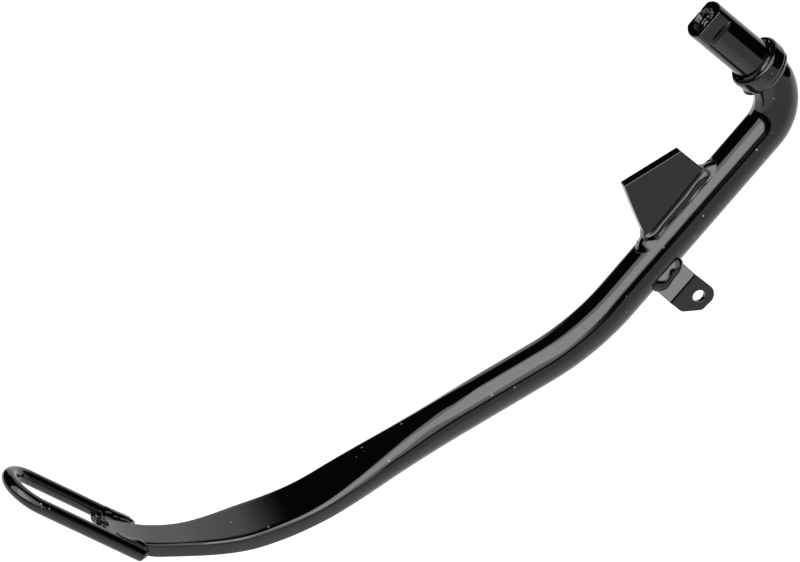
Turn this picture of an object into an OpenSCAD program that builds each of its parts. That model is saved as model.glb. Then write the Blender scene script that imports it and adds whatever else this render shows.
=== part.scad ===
// Motorcycle kickstand leg: a round bar with a pivot shaft at one end and a pressed foot at the
// other, carrying a stop plate, a return-spring tab and a toe loop, all joined by weld beads.
//
// World frame: +Z up, -Y is the side that carries the spring tab. The origin lies on the pivot
// shaft's axis, on the thrust face of the collar.
// Leg frame (module leg_frame): x runs down the upper leg, z runs out along the pivot shaft and
// y runs toward the spring tab's side. The upper leg's axis lies at z = -elbow_drop.

/* [Bar] */
// Diameter of the solid round bar
bar_d = 19.05; // [16:0.05:22]
// Slope of the upper leg below the horizontal, degrees
leg_slope = 47.5; // [30:0.5:60]
// From the collar's thrust face down to the upper leg's axis
elbow_drop = 27; // [27:0.5:34]
// Centreline radius of the elbow below the collar
elbow_r = 20; // [16:0.5:20]
// From the elbow's corner to the lower bend's corner
upper_len = 135.8; // [128:0.2:160]
// Angle of the lower bend, degrees
lower_bend = 22.4; // [10:0.1:30]
// Centreline radius of the lower bend
lower_bend_r = 110; // [60:5:130]

/* [Pivot shaft] */
// Diameter of the shaft
shaft_d = 17.8; // [15:0.1:18.5]
// Length of the shaft beyond the collar
shaft_len = 31.75; // [25:0.25:45]
// Distance across the two flats at the shaft's end
flat_across = 12.7; // [11:0.1:15]
// Length of the flats
flat_len = 7; // [4:0.5:12]
// Tapping-size diameter of the threaded hole in the shaft's end
thread_d = 7.94; // [5:0.02:9]
// Depth of the threaded hole
thread_depth = 22; // [10:1:24]
// Diameter of the hole's countersink
countersink_d = 12; // [10:0.1:12.4]

/* [Thrust collar] */
// Outer diameter of the collar
collar_d = 24.4; // [23:0.1:30]
// Thickness of the collar
collar_t = 7; // [5:0.5:7]
// Rounding of the collar's edges
collar_edge = 1.4; // [0.5:0.1:2]

/* [Stop plate] */
// Thickness of the plate
stop_t = 5; // [4:0.5:6]
// Distance of its upper edge from the elbow's corner, along the leg
stop_x0 = 48.2; // [44:0.2:56]
// Distance of its outer far corner from the elbow's corner
stop_x1 = 74.4; // [66:0.1:80]
// Distance of its foot from the elbow's corner
stop_x2 = 87; // [82:0.2:90]
// Height of its near corner above the leg's axis
stop_z0 = 26; // [20:0.2:30]
// Height of its far corner above the leg's axis
stop_z1 = 36; // [30:0.2:40]

/* [Spring tab] */
// Thickness of the tab's sheet
tab_t = 2.5; // [2:0.1:3]
// Where the tab's upper edge is, from the elbow's corner
tab_x = 84.4; // [80:0.2:90]
// Width of the tab along the leg
tab_w = 16.2; // [14:0.2:20]
// Diameter of the spring hole
spring_hole_d = 5.6; // [4:0.1:7]

/* [Foot] */
// Thickness of the pressed foot just before the toe loop
foot_t = 7; // [5:0.1:8]
// Greatest width of the foot
foot_w = 28.2; // [24:0.2:30]
// Width of the foot at its tip
tip_w = 17.4; // [14:0.2:18]
// Radius of the foot's long sweep
sweep_r = 125; // [110:5:140]
// Angle of the long sweep, degrees
sweep_angle = 35; // [30:1:38]
// Radius of the tighter curl at the tip
curl_r = 55; // [45:1:65]

/* [Toe loop] */
// Diameter of the loop's rod
rod_d = 6.35; // [5:0.05:7]
// Distance between the two rails' centres
loop_w = 25.2; // [25:0.1:30]
// Slope of the rails from the lower leg's axis, degrees
rail_angle = 61.7; // [58:0.1:66]
// Length of each straight rail
rail_len = 51.6; // [45:0.2:60]
// Length of rail that lies beside the foot's tip
rail_lap = 17.2; // [14:0.2:20]

/* [Hidden] */

$fn = 64;
black_paint = [0.07, 0.07, 0.07];
weld_paint = [0.13, 0.13, 0.13];
bar_r = bar_d / 2;
shaft_r = shaft_d / 2;
collar_r = collar_d / 2;
rod_r = rod_d / 2;
joint_gap = 0.01;
far = 200;

// ---------- frames ----------

// Leg frame: see the note at the top of the file.
module leg_frame() { rotate([0, leg_slope, 180]) children(); }

// Same directions, with the origin moved to the elbow's corner on the upper leg's axis.
module upper_frame() { leg_frame() translate([0, 0, -elbow_drop]) children(); }

// x runs down the lower leg's axis from the lower bend's corner.
module lower_frame() {
    upper_frame() translate([upper_len, 0, 0]) rotate([0, -lower_bend, 0]) children();
}

// ---------- bar and foot ----------

bend_reach = lower_bend_r * tan(lower_bend / 2);
// Places along the lower leg where the pressing starts and where the foot begins to sweep up
press_start = 50;
sweep_start = 128;
top_press_end = 146;
bottom_press_start = 70;
bottom_press_end = 145;
spread_start = 66;
spread_end = 132;
taper_start = 162;
taper_end = 202;
thinning_start = 150;
thinning_end = 195;
flank_start = 90;
flank_end = 150;
// The top is pressed below the bar's axis line farther than the bottom is lifted
foot_drop = 1.9;
foot_top = foot_t / 2 - foot_drop;
foot_bottom = foot_t / 2 + foot_drop;
// The middle of the foot is this much thicker than its tip
top_swell = 1.2;
// The underside rises by this much where the foot lies between the rails
tip_lift = 1.4;
tip_lift_start = 204;
tip_lift_end = 222;

sweep_len = sweep_r * sweep_angle * PI / 180;
curl_angle = rail_angle - sweep_angle;
curl_len = curl_r * curl_angle * PI / 180;
bend_len = lower_bend_r * lower_bend * PI / 180;
bend_start = bend_reach - bend_len;
foot_end = sweep_start + sweep_len + curl_len;
foot_rings = 54;
side_steps = 14;

// Smooth step from 0 at a to 1 at b
function ease(a, b, x) = let (t = min(1, max(0, (x - a) / (b - a)))) t * t * (3 - 2 * t);
function mix(a, b, t) = a + (b - a) * t;

// Height of the pressed top and bottom faces from the path, and half the width, at distance s
function top_height(s) =
    mix(bar_r, foot_top + top_swell, ease(press_start, top_press_end, s))
    - top_swell * ease(thinning_start, thinning_end, s);
function bottom_depth(s) =
    mix(bar_r, foot_bottom, ease(bottom_press_start, bottom_press_end, s))
    - tip_lift * ease(tip_lift_start, tip_lift_end, s);
function half_width(s) =
    bar_r + (foot_w / 2 - bar_r) * ease(spread_start, spread_end, s)
    - (foot_w - tip_w) / 2 * ease(taper_start, taper_end, s);

// Slope of the path and its place (x, z) in the lower frame, at distance s: the lower bend, the
// straight lower leg, the long sweep and the curl
function path_angle(s) =
    s < bend_reach ? (s - bend_reach) / lower_bend_r * 180 / PI
    : s < sweep_start ? 0
    : s < sweep_start + sweep_len ? (s - sweep_start) / sweep_r * 180 / PI
    : sweep_angle + (s - sweep_start - sweep_len) / curl_r * 180 / PI;
function arc_point(start, r, a0, a1) =
    start + r * [sin(a1) - sin(a0), cos(a0) - cos(a1)];
sweep_end_point = arc_point([sweep_start, 0], sweep_r, 0, sweep_angle);
function path_point(s) =
    s < bend_reach ? arc_point([bend_reach, 0], lower_bend_r, 0, path_angle(s))
    : s < sweep_start ? [s, 0]
    : s < sweep_start + sweep_len ? arc_point([sweep_start, 0], sweep_r, 0, path_angle(s))
    : arc_point(sweep_end_point, curl_r, sweep_angle, path_angle(s));
foot_tip = path_point(foot_end);

// One section: the bar's round, stretched sideways and clipped flat above and below
function clip_angle(height) = asin(min(0.999, height / bar_r));
// The flanks go from the bar's round to nearly upright
function flank(s) = mix(1, 0.45, ease(flank_start, flank_end, s));
function section(s, shrink = 0) =
    let (
        top = clip_angle(top_height(s)),
        bottom = clip_angle(bottom_depth(s)),
        w = half_width(s) - shrink,
        h = bar_r - shrink,
        f = flank(s)
    )
    concat(
        [
            for (i = [0:side_steps]) let (a = mix(-bottom, top, i / side_steps))
                [w * pow(cos(a), f), h * sin(a)]
        ],
        [
            for (i = [0:side_steps]) let (a = mix(top, -bottom, i / side_steps))
                [-w * pow(cos(a), f), h * sin(a)]
        ]
    );

// A section placed on the path, in the lower frame
function placed(s, shrink = 0) =
    let (p = path_point(s), a = path_angle(s))
    [for (q = section(s, shrink)) [p.x - q.y * sin(a), q.x, p.y + q.y * cos(a)]];

// Closed skin over a list of rings with equal point counts
module skin(rings) {
    n = len(rings[0]);
    last = len(rings) - 1;
    sides = [
        for (i = [0:last - 1]) for (j = [0:n - 1])
            let (k = (j + 1) % n) each [
                [i * n + j, (i + 1) * n + k, i * n + k],
                [i * n + j, (i + 1) * n + j, (i + 1) * n + k]
            ]
    ];
    start_cap = [[for (j = [0:n - 1]) j]];
    end_cap = [[for (j = [n - 1:-1:0]) last * n + j]];
    polyhedron(
        points = [for (ring = rings) each ring],
        faces = concat(sides, start_cap, end_cap),
        convexity = 6
    );
}

// The lower bend, the lower leg and the pressed foot as one smooth skin. The first ring starts
// inside the upper leg, just clear of its surface
lap = 1;
lap_shrink = 0.05;
module lower_leg() {
    skin([
        for (i = [0:foot_rings])
            placed(mix(bend_start - lap, foot_end, i / foot_rings), i == 0 ? lap_shrink : 0)
    ]);
}

// A bend that starts at the origin heading along x and turns toward z
module bend(r, angle, d) {
    translate([0, 0, r]) rotate([90, 0, 0]) rotate([0, 0, -90])
        rotate_extrude(angle = angle) translate([r, 0]) circle(d = d);
}

module bar_along_x(x0, x1, d) { translate([x0, 0, 0]) rotate([0, 90, 0]) cylinder(d = d, h = x1 - x0); }

module elbow() {
    upper_frame() translate([elbow_r, 0, 0]) mirror([1, 0, 0]) bend(elbow_r, 90, bar_d);
}

module upper_leg() { upper_frame() bar_along_x(elbow_r, upper_len - bend_reach, bar_d); }

module leg_bar() {
    stub = elbow_drop - elbow_r - collar_t;
    color(black_paint) {
        if (stub > 0) leg_frame() translate([0, 0, -collar_t - stub]) cylinder(d = bar_d, h = stub);
        elbow();
        upper_leg();
        lower_frame() lower_leg();
    }
}

// ---------- pivot shaft and collar ----------

end_chamfer = 0.5;
// The collar's bore is chamfered at the thrust face
bore_chamfer = 0.5;

// The shaft is turned with a wider root, as thick as the bar, which the collar sits on
module pivot_shaft() {
    flat_z = shaft_len - flat_len;
    color(black_paint) leg_frame() difference() {
        union() {
            translate([0, 0, -collar_t]) cylinder(r = bar_r, h = collar_t);
            cylinder(r = shaft_r, h = shaft_len - end_chamfer);
            translate([0, 0, shaft_len - end_chamfer])
                cylinder(r1 = shaft_r, r2 = shaft_r - end_chamfer, h = end_chamfer);
        }
        for (side = [-1, 1])
            translate([-far / 2, side > 0 ? flat_across / 2 : -flat_across / 2 - far, flat_z])
                cube([far, far, far]);
        translate([0, 0, shaft_len - thread_depth]) cylinder(d = thread_d, h = far);
        countersink_depth = (countersink_d - thread_d) / 2;
        translate([0, 0, shaft_len - countersink_depth])
            cylinder(d1 = thread_d, d2 = countersink_d, h = countersink_depth);
    }
}

module thrust_collar() {
    color(black_paint) leg_frame() rotate_extrude() difference() {
        union() {
            translate([bar_r, -collar_t]) square([collar_r - bar_r - collar_edge, collar_t]);
            translate([bar_r, collar_edge - collar_t])
                square([collar_r - bar_r, collar_t - 2 * collar_edge]);
            for (y = [collar_edge - collar_t, -collar_edge])
                translate([collar_r - collar_edge, y]) circle(r = collar_edge);
        }
        polygon([
            [bar_r - bore_chamfer, -2 * bore_chamfer],
            [bar_r, -bore_chamfer],
            [bar_r + 2 * bore_chamfer, bore_chamfer],
            [bar_r - bore_chamfer, bore_chamfer]
        ]);
    }
}

collar_bead_r = 2.6;
tack_r = 2.7;
tack_h = 2.8;
tack_cap = 1.3;

// The bead lies in the corner between the collar's back face and the bar
module collar_weld() {
    color(weld_paint) difference() {
        leg_frame() intersection() {
            translate([0, 0, -collar_t])
                rotate_extrude() translate([bar_r - 0.6, 0]) circle(r = collar_bead_r);
            translate([0, 0, -collar_t - far]) cylinder(r = far, h = far);
        }
        elbow();
        tack_shape(joint_gap);
    }
}

// A separate blob of weld on the leg's side of the collar's back face, cut to clear the elbow
tack_clear_r = bar_r + 0.4;
module tack_shape(grow = 0) {
    leg_frame() translate([bar_r + 0.6, 1.6, -collar_t - tack_h]) {
        cylinder(r1 = tack_r - tack_cap, r2 = tack_r + grow, h = tack_cap);
        translate([0, 0, tack_cap]) cylinder(r = tack_r + grow, h = tack_h - tack_cap);
    }
}

module collar_tack() {
    color(weld_paint) difference() {
        tack_shape();
        leg_frame() translate([0, 0, -far / 2]) cylinder(r = tack_clear_r, h = far);
    }
}

// ---------- stop plate ----------

stop_bulge = 0.3;
bulge_steps = 6;
stop_sink = 1.2;

// The far edge bows outward a little between the far corner and the foot
function bowed(a, b, bulge) =
    let (d = b - a, n = [d.y, -d.x] / norm(d))
    [for (i = [0:bulge_steps]) let (t = i / bulge_steps) a + d * t - n * bulge * 4 * t * (1 - t)];

module stop_outline() {
    polygon(concat(
        [[stop_x0, bar_r - stop_sink], [stop_x0, stop_z0]],
        bowed([stop_x1, stop_z1], [stop_x2, bar_r - stop_sink], stop_bulge)
    ));
}

module stop_plate() {
    color(black_paint) difference() {
        upper_frame() rotate([90, 0, 0]) linear_extrude(stop_t, center = true) stop_outline();
        upper_leg();
    }
}

stop_bead_r = 3;
// Height above the leg's axis of the line where the plate's faces meet the bar
stop_root = sqrt(bar_r * bar_r - stop_t * stop_t / 4);

module stop_long_weld(side) {
    color(weld_paint) difference() {
        upper_frame() intersection() {
            translate([stop_x0, side * stop_t / 2, stop_root]) rotate([0, 90, 0])
                cylinder(r = stop_bead_r, h = stop_x2 - stop_x0);
            translate([0, side > 0 ? stop_t / 2 : -stop_t / 2 - far, 0]) cube([far, far, far]);
        }
        upper_leg();
    }
}

module stop_plate_front_weld() { stop_long_weld(1); }
module stop_plate_rear_weld() { stop_long_weld(-1); }

// A bead across the plate's end that wraps its two corners
module stop_end_weld(x, dir) {
    color(weld_paint) difference() {
        upper_frame() intersection() {
            translate([x, 0, stop_root]) union() {
                rotate([90, 0, 0]) cylinder(r = stop_bead_r, h = stop_t, center = true);
                for (side = [-1, 1]) translate([0, side * stop_t / 2, 0]) sphere(r = stop_bead_r);
            }
            translate([dir > 0 ? x : x - far, -far / 2, 0]) cube([far, far, far]);
        }
        upper_leg();
        if (dir > 0) stop_plate();
    }
}

module stop_plate_upper_weld() { stop_end_weld(stop_x0, -1); }
module stop_plate_lower_weld() { stop_end_weld(stop_x2, 1); }

// ---------- spring tab ----------

// The tab leaves the bar at this angle toward its own side, then turns parallel to the leg's plane
tab_lean = 45;
tab_root = bar_r - 0.8;
tab_knee = 18.6;
tab_face_y = tab_knee * sin(tab_lean);
tab_knee_z = -tab_knee * cos(tab_lean);
hole_x = tab_x + 6.4;
hole_z = -21.2;
corner_steps = 6;

// Points on a round corner, from angle a0 to angle a1
function corner(cx, cz, r, a0, a1) =
    [for (i = [0:corner_steps]) let (a = mix(a0, a1, i / corner_steps)) [cx + r * cos(a), cz + r * sin(a)]];

// Seen from the side: up to the bar above, rounded corners below
module tab_outline() {
    polygon(concat(
        [[tab_x + tab_w, 0], [tab_x, 0]],
        corner(tab_x + 5.2, -22.6, 5.2, 180, 262),
        corner(tab_x + 8.8, -24.6, 2.8, 265, 318),
        corner(tab_x + tab_w - 3.6, -18.6, 3.6, 318, 360)
    ));
}

tab_bend_r = 0.8;
// The bend's centre, as seen along the leg (y, z)
tab_mid_r = tab_bend_r + tab_t / 2;
tab_bend_reach = tab_mid_r * tan(tab_lean / 2);
tab_bend_centre = [tab_face_y - tab_mid_r, tab_knee_z - tab_bend_reach];

// Seen along the leg: a strip that leaves the bar, one bend, then the straight face
module tab_profile() {
    along = [sin(tab_lean), -cos(tab_lean)];
    across = [cos(tab_lean), sin(tab_lean)];
    polygon(concat(
        [along * tab_root - across * tab_t / 2, along * tab_root + across * tab_t / 2],
        corner(tab_bend_centre.x, tab_bend_centre.y, tab_bend_r + tab_t, tab_lean, 0),
        [[tab_face_y + tab_t / 2, -far], [tab_face_y - tab_t / 2, -far]],
        corner(tab_bend_centre.x, tab_bend_centre.y, tab_bend_r, 0, tab_lean)
    ));
}

module spring_tab() {
    color(black_paint) difference() {
        upper_frame() intersection() {
            rotate([90, 0, 90]) translate([0, 0, tab_x - 1]) linear_extrude(tab_w + 2) tab_profile();
            rotate([90, 0, 0]) linear_extrude(far, center = true) tab_outline();
        }
        upper_leg();
        upper_frame() translate([hole_x, 0, hole_z]) rotate([-90, 0, 0]) cylinder(d = spring_hole_d, h = far);
    }
}

tab_bead_r = 2.7;
tab_bead_inset = 0.6;

module tab_weld(side) {
    color(weld_paint) difference() {
        upper_frame() intersection() {
            rotate([-90 - tab_lean, 0, 0]) translate([tab_x + tab_bead_inset, side * tab_t / 2, bar_r])
                rotate([0, 90, 0]) cylinder(r = tab_bead_r, h = tab_w - 2 * tab_bead_inset);
            rotate([-90 - tab_lean, 0, 0])
                translate([0, side > 0 ? tab_t / 2 : -tab_t / 2 - far, 0]) cube([far, far, far]);
        }
        upper_leg();
    }
}

module spring_tab_front_weld() { tab_weld(-1); }
module spring_tab_rear_weld() { tab_weld(1); }

// ---------- toe loop ----------

// The rails lie a little above the middle of the foot's tip
rail_lift = 0.5;

// x runs out along the rails from their cut ends, with the foot's tip at x = rail_lap
module rail_frame() {
    lower_frame() translate([foot_tip.x, 0, foot_tip.y]) rotate([0, -rail_angle, 0])
        translate([-rail_lap, 0, rail_lift]) children();
}

module toe_loop() {
    color(black_paint) rail_frame() {
        for (side = [-1, 1]) translate([0, side * loop_w / 2, 0]) bar_along_x(0, rail_len, rod_d);
        translate([rail_len, 0, 0]) rotate([0, 0, -90])
            rotate_extrude(angle = 180) translate([loop_w / 2, 0]) circle(d = rod_d);
    }
}

foot_lap_start = foot_end - rail_lap - 6;
lap_rings = 10;

// The foot's tip alone, for cutting the beads to meet it
module foot_tip_solid() {
    lower_frame() skin([
        for (i = [0:lap_rings]) placed(mix(foot_lap_start, foot_end, i / lap_rings))
    ]);
}

rail_bead_r = 2.6;
rail_bead_y = (tip_w / 2 + loop_w / 2 - rod_r) / 2;

// A bead that fills the groove between a rail and the foot's edge
module rail_weld(side) {
    color(weld_paint) difference() {
        rail_frame() translate([0, side * rail_bead_y, 0]) {
            bar_along_x(0, rail_lap - 0.5, 2 * rail_bead_r);
            sphere(r = rail_bead_r);
        }
        toe_loop();
        foot_tip_solid();
    }
}

module toe_loop_near_weld() { rail_weld(1); }
module toe_loop_far_weld() { rail_weld(-1); }

// A bead across the foot's tip, between the rails
tip_bead_r = 2.4;
module toe_loop_tip_weld() {
    inner = loop_w - rod_d - 0.6;
    color(weld_paint) difference() {
        rail_frame() intersection() {
            translate([rail_lap, 0, -rail_lift]) rotate([90, 0, 0])
                cylinder(r = tip_bead_r, h = inner, center = true);
            translate([rail_lap, -far / 2, -far / 2]) cube([far, far, far]);
        }
        toe_loop();
    }
}

leg_bar();
pivot_shaft();
thrust_collar();
collar_weld();
collar_tack();
stop_plate();
stop_plate_front_weld();
stop_plate_rear_weld();
stop_plate_upper_weld();
stop_plate_lower_weld();
spring_tab();
spring_tab_front_weld();
spring_tab_rear_weld();
toe_loop();
toe_loop_near_weld();
toe_loop_far_weld();
toe_loop_tip_weld();
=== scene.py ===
"""Motorcycle kickstand leg: a painted weldment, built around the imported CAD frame.

Each CAD node is replaced by a finer piece of the same size. Lengths in this file are millimetres
in the frames named below; place() turns them into metres in the frame that the CAD model uses.
"""

import math

import bmesh
import bpy
import numpy as np
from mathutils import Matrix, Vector


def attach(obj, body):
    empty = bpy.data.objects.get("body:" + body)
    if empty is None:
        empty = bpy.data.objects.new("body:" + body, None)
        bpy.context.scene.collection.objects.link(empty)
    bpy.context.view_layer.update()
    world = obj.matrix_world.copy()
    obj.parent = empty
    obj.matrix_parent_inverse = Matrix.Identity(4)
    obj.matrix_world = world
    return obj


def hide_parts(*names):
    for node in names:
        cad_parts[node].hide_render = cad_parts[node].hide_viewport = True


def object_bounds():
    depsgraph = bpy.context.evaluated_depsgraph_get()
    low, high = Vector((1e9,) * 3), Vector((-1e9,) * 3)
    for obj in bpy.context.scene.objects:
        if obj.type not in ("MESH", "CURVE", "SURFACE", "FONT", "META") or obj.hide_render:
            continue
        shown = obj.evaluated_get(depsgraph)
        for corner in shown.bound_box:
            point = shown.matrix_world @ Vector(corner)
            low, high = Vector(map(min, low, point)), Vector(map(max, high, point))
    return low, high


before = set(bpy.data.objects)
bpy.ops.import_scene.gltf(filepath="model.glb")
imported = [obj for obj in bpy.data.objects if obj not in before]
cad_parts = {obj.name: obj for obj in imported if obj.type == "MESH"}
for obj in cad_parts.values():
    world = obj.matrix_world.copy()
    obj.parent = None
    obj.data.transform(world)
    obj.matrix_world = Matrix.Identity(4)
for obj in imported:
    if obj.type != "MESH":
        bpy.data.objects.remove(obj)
cad_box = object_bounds()

MM = 0.001
TURN = 2 * math.pi

# ---------- driving dimensions, as in the CAD source ----------

BAR_R = 19.05 / 2
LEG_SLOPE = math.radians(47.5)
ELBOW_DROP = 27
ELBOW_R = 20
UPPER_LEN = 135.8
LOWER_BEND = math.radians(22.4)
LOWER_BEND_R = 110

SHAFT_R = 17.8 / 2
SHAFT_LEN = 31.75
FLAT_ACROSS = 12.7
FLAT_LEN = 7
THREAD_R = 7.94 / 2
THREAD_DEPTH = 22
COUNTERSINK_R = 12 / 2
# Paint narrows the radius of the countersink's mouth by this much
PAINT_FILL = 0.8

COLLAR_R = 24.4 / 2
COLLAR_T = 7
COLLAR_EDGE = 1.4

STOP_T = 5
STOP_X0, STOP_X1, STOP_X2 = 48.2, 74.4, 87
STOP_Z0, STOP_Z1 = 26, 36
STOP_BULGE = 0.3
# The plate's lower corner and its root lie this far under the top of the bar
STOP_CORNER_SINK = 1.2
STOP_ROOT_SINK = 2.2

TAB_T = 2.5
TAB_X = 84.4
TAB_W = 16.2
TAB_LEAN = math.radians(45)
TAB_KNEE = 18.6
TAB_BEND_R = 0.8
SPRING_HOLE_R = 2.8
HOLE_X = TAB_X + 6.4
HOLE_Z = -21.2

FOOT_T = 7
FOOT_W = 28.2
TIP_W = 17.4
FOOT_DROP = 1.9
TOP_SWELL = 1.2
TIP_LIFT = 1.4
SWEEP_START = 128
SWEEP_R = 125
SWEEP_ANGLE = math.radians(35)
CURL_R = 55
# Stretches of the lower leg over which the pressing changes it: where each starts and ends
TOP_PRESS = (50, 146)
BOTTOM_PRESS = (70, 145)
SPREAD = (66, 132)
FLATTEN_FLANKS = (90, 150)
SHARPEN_EDGES = (70, 175)
THINNING = (150, 195)
TAPER = (162, 202)
LIFT_TIP = (204, 222)

ROD_R = 6.35 / 2
LOOP_W = 25.2
RAIL_ANGLE = math.radians(61.7)
RAIL_LEN = 51.6
RAIL_LAP = 17.2
RAIL_LIFT = 0.5

# ---------- frames ----------


def shift(x, y, z):
    m = np.eye(4)
    m[:3, 3] = (x, y, z)
    return m


def turn_y(angle):
    """Turns x toward -z for a positive angle."""
    c, s = math.cos(angle), math.sin(angle)
    return np.array([[c, 0, s, 0], [0, 1, 0, 0], [-s, 0, c, 0], [0, 0, 0, 1]])


def place(points, to_world):
    """Millimetres in one of the frames below, as metres in the CAD model's frame."""
    points = np.asarray(points, float)
    return (points @ to_world[:3, :3].T + to_world[:3, 3]) * MM


# Leg frame: x down the upper leg, z out along the pivot shaft, y toward the spring tab's side
LEG = np.diag([-1.0, -1.0, 1.0, 1.0]) @ turn_y(LEG_SLOPE)
# Upper frame: the same axes, with x along the middle of the upper leg
UPPER = LEG @ shift(0, 0, -ELBOW_DROP)

# ---------- helpers for meshes ----------


def waves(points, length, seed):
    """Smooth random waves of about that length over the points, with a spread of about 1."""
    count = 14
    draw = np.random.default_rng(seed)
    k = draw.normal(size=(count, 3))
    k *= (TURN / length / np.linalg.norm(k, axis=1))[:, None]
    k *= draw.uniform(0.7, 1.4, count)[:, None]
    phase = draw.uniform(0, TURN, count)
    return np.sin(np.asarray(points) @ k.T + phase).sum(-1) * math.sqrt(2 / count)


def ease(a, b, x):
    """Smooth step from 0 at a to 1 at b."""
    t = np.clip((np.asarray(x, float) - a) / (b - a), 0, 1)
    return t * t * (3 - 2 * t)


def mix(a, b, t):
    return a + (b - a) * t


def piece_from(name, mesh, nodes, material):
    """Makes the mesh a piece of the object that stands for the CAD nodes."""
    obj = bpy.data.objects.new(name, mesh)
    bpy.context.scene.collection.objects.link(obj)
    mesh.materials.clear()
    mesh.materials.append(material)
    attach(obj, "root")
    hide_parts(*nodes)
    return obj


def grid_mesh(name, points, wrap_rows=False, sharp=None):
    """A skin over rows of points, each row a closed ring.

    With wrap_rows the last row joins the first. Otherwise each end gets a flat cap.
    """
    rows, cols = points.shape[:2]
    index = np.arange(rows * cols).reshape(rows, cols)
    after = np.roll(index, -1, axis=1)
    if wrap_rows:
        low, low_next = index, after
        high, high_next = np.roll(index, -1, axis=0), np.roll(after, -1, axis=0)
    else:
        low, low_next, high, high_next = index[:-1], after[:-1], index[1:], after[1:]
    faces = np.stack([low, low_next, high_next, high], -1).reshape(-1, 4).tolist()
    if not wrap_rows:
        faces += [index[0][::-1].tolist(), index[-1].tolist()]
    mesh = bpy.data.meshes.new(name)
    mesh.from_pydata(points.reshape(-1, 3).tolist(), [], faces)
    finish_mesh(mesh, sharp)
    return mesh


def finish_mesh(mesh, sharp=None):
    """Outward normals and smooth shading, with edges over the sharp angle kept crisp."""
    work = bmesh.new()
    work.from_mesh(mesh)
    bmesh.ops.recalc_face_normals(work, faces=work.faces)
    work.to_mesh(mesh)
    work.free()
    mesh.shade_smooth()
    if sharp is not None:
        mesh.set_sharp_from_angle(angle=sharp)


def prism(name, outline, depth):
    """A straight solid: an outline in (u, v), from w = -depth / 2 to depth / 2."""
    n = len(outline)
    verts = [(u, v, w) for w in (-depth / 2, depth / 2) for u, v in outline]
    faces = [list(range(n))[::-1], list(range(n, 2 * n))]
    faces += [[i, (i + 1) % n, n + (i + 1) % n, n + i] for i in range(n)]
    mesh = bpy.data.meshes.new(name)
    mesh.from_pydata(verts, [], faces)
    finish_mesh(mesh)
    return mesh


def moved(mesh, order, to_world):
    """Reads each vertex (u, v, w) as the frame's axes named in order, then places it."""
    co = np.empty(len(mesh.vertices) * 3)
    mesh.vertices.foreach_get("co", co)
    co = co.reshape(-1, 3)
    local = np.empty_like(co)
    for source, axis in enumerate(order):
        local[:, "xyz".index(axis)] = co[:, source]
    mesh.vertices.foreach_set("co", place(local, to_world).ravel())
    finish_mesh(mesh)
    return mesh


def arc(cx, cy, r, a0, a1, steps):
    """Points round a centre, from angle a0 to a1 in degrees."""
    angles = np.radians(np.linspace(a0, a1, steps + 1))
    return [(cx + r * math.cos(a), cy + r * math.sin(a)) for a in angles]


# ---------- the leg ----------

BEND_REACH = LOWER_BEND_R * math.tan(LOWER_BEND / 2)
SWEEP_LEN = SWEEP_R * SWEEP_ANGLE
CURL_ANGLE = RAIL_ANGLE - SWEEP_ANGLE
CURL_LEN = CURL_R * CURL_ANGLE
FOOT_END = SWEEP_START + SWEEP_LEN + CURL_LEN
FOOT_TOP = FOOT_T / 2 - FOOT_DROP
FOOT_BOTTOM = FOOT_T / 2 + FOOT_DROP
# Roundings of the foot's lower edges, of its tip, and of its upper edges at the bar and at the tip
LOW_EDGE = 0.75
TIP_EDGE = 0.8
TOP_EDGE_FIRST, TOP_EDGE_LAST = 4.0, 1.7
# How round the flanks stay where the foot is flat: 1 is an ellipse and 0 a straight wall
FLAT_FLANK = 0.45
# The leg's skin is kept this far inside the CAD surface
LEG_INSET = 0.03
# The leg's mesh: lengths between its rings, and how many steps each ring takes
LEG_STEP, ELBOW_STEP = 1.0, 0.6
ARC_STEPS, FLAT_STEPS, EDGE_STEPS, TIP_STEPS = 40, 16, 6, 6


def walk(start, heading, stretches):
    """Points (x, z), headings and distances along stretches of (length, turn, step)."""
    x, z = start
    rows, total = [], 0.0
    for length, turn, step in stretches:
        steps = max(1, math.ceil(length / step))
        for t in np.arange(steps) / steps:
            rows.append((*along(x, z, heading, length, turn, t), heading + turn * t, total + length * t))
        x, z = along(x, z, heading, length, turn, 1)
        heading += turn
        total += length
    rows.append((x, z, heading, total))
    return np.array(rows)


def along(x, z, heading, length, turn, t):
    """The point at part t of one straight or round stretch."""
    if turn == 0:
        return x + length * t * math.cos(heading), z + length * t * math.sin(heading)
    r = length / turn
    end = heading + turn * t
    return x + r * (math.sin(end) - math.sin(heading)), z + r * (math.cos(heading) - math.cos(end))


def foot_size(s):
    """The section at distance s: heights of the flats, half width, flank shape and edge rounding."""
    top = mix(BAR_R, FOOT_TOP + TOP_SWELL, ease(*TOP_PRESS, s)) - TOP_SWELL * ease(*THINNING, s)
    bottom = mix(BAR_R, FOOT_BOTTOM, ease(*BOTTOM_PRESS, s)) - TIP_LIFT * ease(*LIFT_TIP, s)
    half = BAR_R + (FOOT_W / 2 - BAR_R) * ease(*SPREAD, s) - (FOOT_W - TIP_W) / 2 * ease(*TAPER, s)
    flank = mix(1.0, FLAT_FLANK, ease(*FLATTEN_FLANKS, s))
    edge = mix(TOP_EDGE_FIRST, TOP_EDGE_LAST, ease(*SHARPEN_EDGES, s))
    return top, bottom, half, flank, edge


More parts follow.
